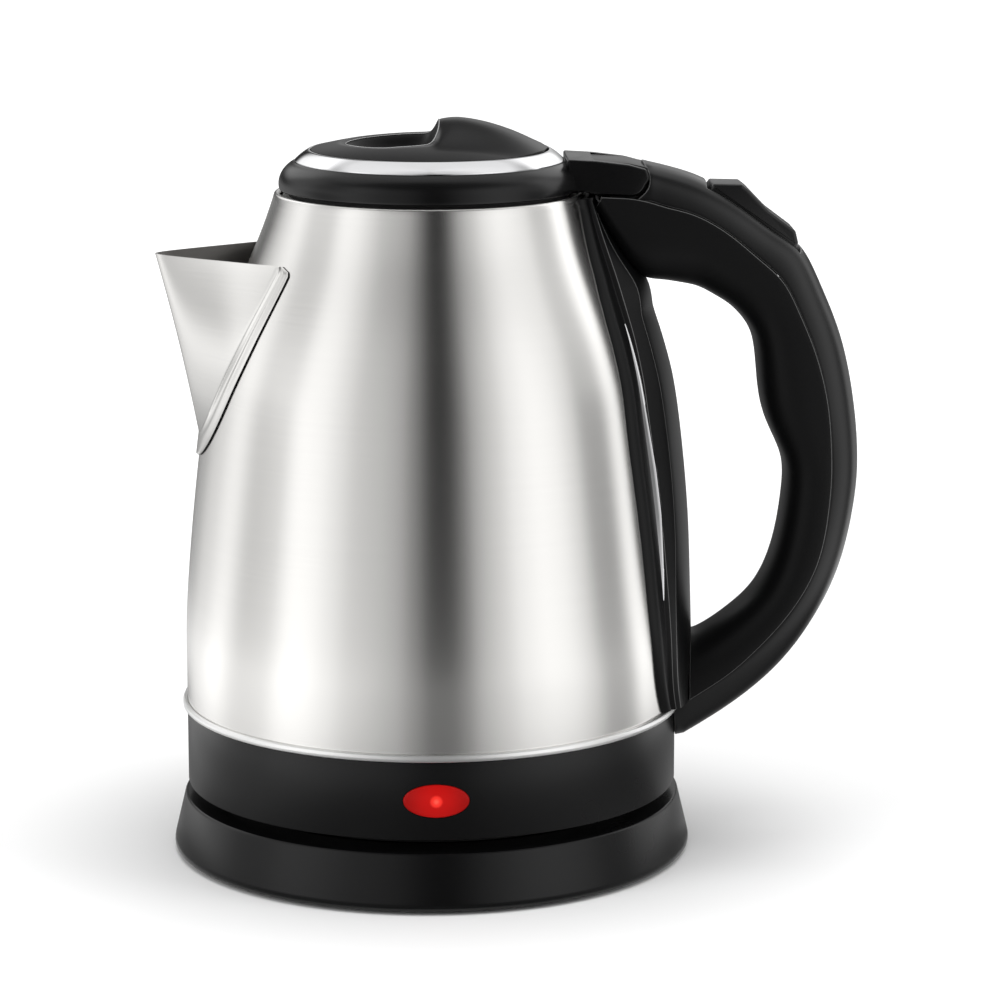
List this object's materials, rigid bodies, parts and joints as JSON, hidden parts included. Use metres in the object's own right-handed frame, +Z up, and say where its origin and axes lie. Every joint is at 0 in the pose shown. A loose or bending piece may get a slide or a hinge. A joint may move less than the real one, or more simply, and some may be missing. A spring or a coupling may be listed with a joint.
{
  "type": "electric kettle",
  "caption": "Cordless electric kettle: tapered steel pot with a folded pointed spout, hinged domed lid, black loop handle with rocker switch, on a round swivel power base.",
  "frame": {"origin": "on the table, in the middle of the rubber foot ring, on the body's upright axis", "axes": "+Z up along the body's axis, +X towards the handle, -X towards the spout, -Y towards the side with the indicator lamp"},
  "size_m": [0.2157, 0.161, 0.228],
  "materials": {
    "black_gloss": "semi-gloss black",
    "black_satin": "satin black",
    "black_matte": "matte black",
    "black_grip": "fine matte texture",
    "dark_grey": "matte dark grey",
    "ivory": "moulded ceramic-filled plastic",
    "rubber": "matte",
    "silicone": "translucent grey",
    "brushed_steel": "brushed round the body",
    "inner_steel": "satin",
    "element_steel": "dark annealed sheath",
    "zinc": "zinc-plated",
    "bimetal": "warm satin",
    "aluminium": "satin",
    "chrome": "polished",
    "brass": "bright",
    "red_lens": "clear red, glossy",
    "lamp": "small lamp bulb",
    "lead_sleeve": "woven glass sleeve"
  },
  "bodies": {
    "power_base": {"base_shell": "black_gloss", "base_plate": "black_matte", "foot_ring": "rubber", "base_screws": "zinc", "cord_gland": "black_matte", "base_connector": "black_matte", "base_contacts": "brass"},
    "swivel_collar": {"connector_collar": "dark_grey"},
    "kettle": {"pot": "brushed_steel", "spout": "brushed_steel", "pot_floor": "inner_steel", "heat_plate": "aluminium", "heating_element": "element_steel", "thermostat": "ivory", "kettle_connector": "black_matte", "connector_pins": "brass", "lower_housing": "black_gloss", "bottom_cover": "black_matte", "bottom_screws": "zinc", "trim_ring": "chrome", "indicator_lens": "red_lens", "indicator_lamp": "lamp", "lamp_holder": "ivory", "spine_flange": "black_satin", "spine_rib": "black_satin", "handle_grip": "black_grip", "handle_cover": "black_satin", "handle_screws": "zinc", "hinge_bracket": "black_satin", "hinge_pin": "zinc", "switch_housing": "ivory", "switch_terminals": "brass", "steam_bimetal": "bimetal", "rocker_pin": "zinc", "switch_leads": "lead_sleeve"},
    "switch_rocker": {"rocker": "black_satin"},
    "lid": {"lid_rim": "black_gloss", "lid_ring": "chrome", "lid_top": "black_gloss", "lid_liner": "black_matte", "lid_gasket": "silicone", "lid_screws": "zinc"}
  },
  "joints": [
    {"name": "swivel", "type": "hinge", "parent": "power_base", "child": "swivel_collar", "pos_m": [0, 0, 0.0192], "axis": [0, 0, 1], "continuous": true},
    {"name": "lift", "type": "slide", "parent": "swivel_collar", "child": "kettle", "axis": [0, 0, 1], "range_m": [0, 0.06]},
    {"name": "rocker_tilt", "type": "hinge", "parent": "kettle", "child": "switch_rocker", "pos_m": [0.09508, 0, 0.19287], "axis": [0, 1, 0], "range_deg": [0, 8]},
    {"name": "lid_hinge", "type": "hinge", "parent": "kettle", "child": "lid", "pos_m": [0.0602, 0, 0.2098], "axis": [0, 1, 0], "range_deg": [0, 75]}
  ]
}
